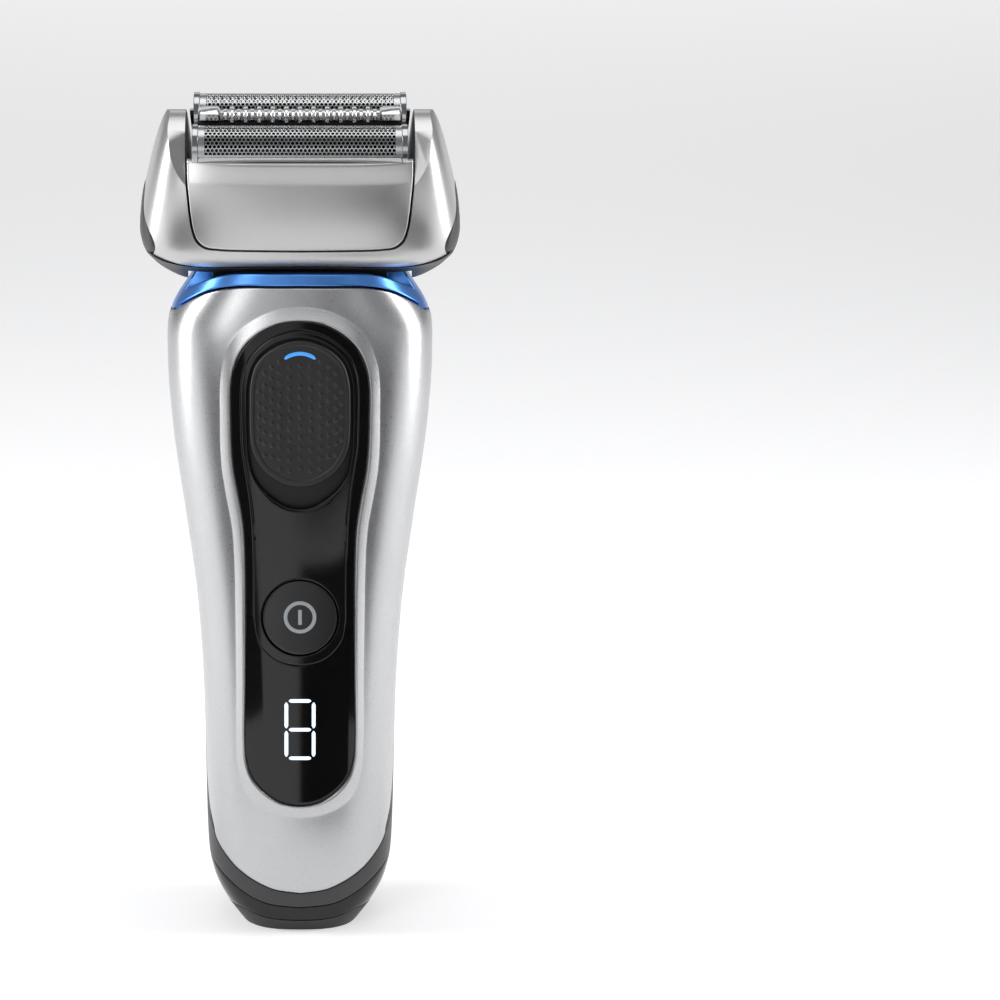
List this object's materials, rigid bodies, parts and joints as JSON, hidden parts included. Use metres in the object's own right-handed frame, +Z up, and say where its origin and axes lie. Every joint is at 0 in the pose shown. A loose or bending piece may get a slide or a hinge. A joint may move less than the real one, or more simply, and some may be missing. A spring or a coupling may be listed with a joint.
{
  "type": "electric shaver",
  "caption": "Foil shaver with a swivelling head, floating foils, a middle trimmer, a lift-off cassette, a lock slider, a power button and a pop-out trimmer.",
  "frame": {"origin": "centre of the flat foot the shaver stands on", "axes": "+Z up through the handle, the front with the controls faces -Y, +X to the right as seen from the front"},
  "size_m": [0.0624, 0.0386, 0.1702],
  "materials": {
    "silver": "satin lacquer",
    "black_shell": "fine matt",
    "grip_rubber": "soft, fine ribs",
    "band_grey": "matt",
    "gloss_black": "polished",
    "blue": "satin anodised",
    "pad": "dimpled",
    "button_grey": "satin",
    "display": "glowing segments",
    "steel": "brushed",
    "foil_steel": "thin perforated sheet",
    "chrome": "polished",
    "dark_plastic": "moulded",
    "board_green": "solder mask",
    "battery": "printed sleeve",
    "brass": "bright",
    "copper": "enamelled wire"
  },
  "bodies": {
    "handle": {"front_shell": "silver", "back_shell": "black_shell", "back_grip": "grip_rubber", "lower_band": "band_grey", "base_cap": "gloss_black", "base_plate": "black_shell", "power_socket": "dark_plastic", "socket_pins": "brass", "charge_contacts": "brass", "foot_screws": "steel", "collar": "blue", "top_seal": "dark_plastic", "fascia_rim": "gloss_black", "display_window": "gloss_black", "control_panel": "gloss_black", "main_board": "board_green", "power_switch": "dark_plastic", "led_display": "display", "inner_frame": "dark_plastic", "battery_cell": "battery", "battery_contacts": "brass", "board_screws": "steel", "bay_tray": "dark_plastic", "trimmer_hinge_pin": "steel"},
    "lock_switch": {"lock_pad": "pad", "lock_slider": "dark_plastic"},
    "power_key": {"power_button": "button_grey"},
    "long_trimmer": {"trimmer_flap": "black_shell", "trimmer_fixed_blade": "steel"},
    "long_trimmer_blade": {"trimmer_moving_blade": "steel"},
    "long_trimmer_release": {"trimmer_release": "button_grey"},
    "head": {"head_frame": "silver", "head_base": "black_shell", "swivel_pins": "steel", "drive_cover": "dark_plastic", "motor_core": "steel", "motor_coil": "copper", "flexure_springs": "steel"},
    "release_left": {"release_button_left": "band_grey"},
    "release_right": {"release_button_right": "band_grey"},
    "drive_front": {"front_drive_bridge": "dark_plastic"},
    "drive_rear": {"rear_drive_bridge": "dark_plastic"},
    "cassette": {"cassette_frame": "dark_plastic", "cassette_front_panel": "silver", "cassette_rear_panel": "silver", "float_springs": "steel"},
    "foil_front": {"front_foil_carrier": "chrome", "front_foil": "foil_steel"},
    "foil_rear": {"rear_foil_carrier": "chrome", "rear_foil": "foil_steel"},
    "cutter_front": {"front_cutter_block": "steel"},
    "cutter_rear": {"rear_cutter_block": "steel"},
    "mid_trimmer": {"mid_trimmer_holder": "dark_plastic", "skin_guard": "steel"},
    "mid_blade": {"mid_trimmer_blade": "steel"}
  },
  "joints": [
    {"name": "head_swivel", "type": "hinge", "parent": "handle", "child": "head", "pos_m": [0, 0.001, 0.136], "axis": [1, 0, 0], "range_deg": [-37, 0]},
    {"name": "lock_slide", "type": "slide", "parent": "handle", "child": "lock_switch", "axis": [0, 0, 1], "range_m": [-0.0036, 0]},
    {"name": "power_press", "type": "slide", "parent": "handle", "child": "power_key", "axis": [0, 1, 0], "range_m": [0, 0.0007], "stiffness_N_per_m": 900},
    {"name": "trimmer_hinge", "type": "hinge", "parent": "handle", "child": "long_trimmer", "pos_m": [0, 0.013, 0.089], "axis": [1, 0, 0], "range_deg": [-45, 0]},
    {"name": "trimmer_blade_slide", "type": "slide", "parent": "long_trimmer", "child": "long_trimmer_blade", "axis": [1, 0, 0], "range_m": [-0.001, 0.001]},
    {"name": "trimmer_release_slide", "type": "slide", "parent": "handle", "child": "long_trimmer_release", "axis": [0, 0, 1], "range_m": [0, 0.0024]},
    {"name": "release_left_press", "type": "slide", "parent": "head", "child": "release_left", "axis": [1, 0, 0], "range_m": [0, 0.0012], "stiffness_N_per_m": 800},
    {"name": "release_right_press", "type": "slide", "parent": "head", "child": "release_right", "axis": [-1, 0, 0], "range_m": [0, 0.0012], "stiffness_N_per_m": 800},
    {"name": "drive_front_slide", "type": "slide", "parent": "head", "child": "drive_front", "axis": [1, 0, 0], "range_m": [-0.0012, 0.0012]},
    {"name": "drive_rear_slide", "type": "slide", "parent": "head", "child": "drive_rear", "axis": [1, 0, 0], "range_m": [-0.0012, 0.0012]},
    {"name": "cassette_lift", "type": "slide", "parent": "head", "child": "cassette", "axis": [0, -0.2924, 0.9563], "range_m": [0, 0.03]},
    {"name": "front_foil_float", "type": "slide", "parent": "cassette", "child": "foil_front", "axis": [0, -0.2924, 0.9563], "range_m": [-0.002, 0], "stiffness_N_per_m": 300},
    {"name": "rear_foil_float", "type": "slide", "parent": "cassette", "child": "foil_rear", "axis": [0, -0.2924, 0.9563], "range_m": [-0.002, 0], "stiffness_N_per_m": 300},
    {"name": "mid_trimmer_float", "type": "slide", "parent": "cassette", "child": "mid_trimmer", "axis": [0, -0.2924, 0.9563], "range_m": [-0.0015, 0], "stiffness_N_per_m": 300},
    {"name": "front_cutter_slide", "type": "slide", "parent": "foil_front", "child": "cutter_front", "axis": [1, 0, 0], "range_m": [-0.0012, 0.0012]},
    {"name": "rear_cutter_slide", "type": "slide", "parent": "foil_rear", "child": "cutter_rear", "axis": [1, 0, 0], "range_m": [-0.0012, 0.0012]},
    {"name": "mid_blade_slide", "type": "slide", "parent": "mid_trimmer", "child": "mid_blade", "axis": [1, 0, 0], "range_m": [-0.0012, 0.0012]}
  ],
  "couplings": [
    {"joint": "drive_rear_slide", "follows": "drive_front_slide", "ratio": -1},
    {"joint": "front_cutter_slide", "follows": "drive_front_slide", "ratio": 1},
    {"joint": "rear_cutter_slide", "follows": "drive_front_slide", "ratio": -1},
    {"joint": "mid_blade_slide", "follows": "drive_front_slide", "ratio": 1}
  ]
}
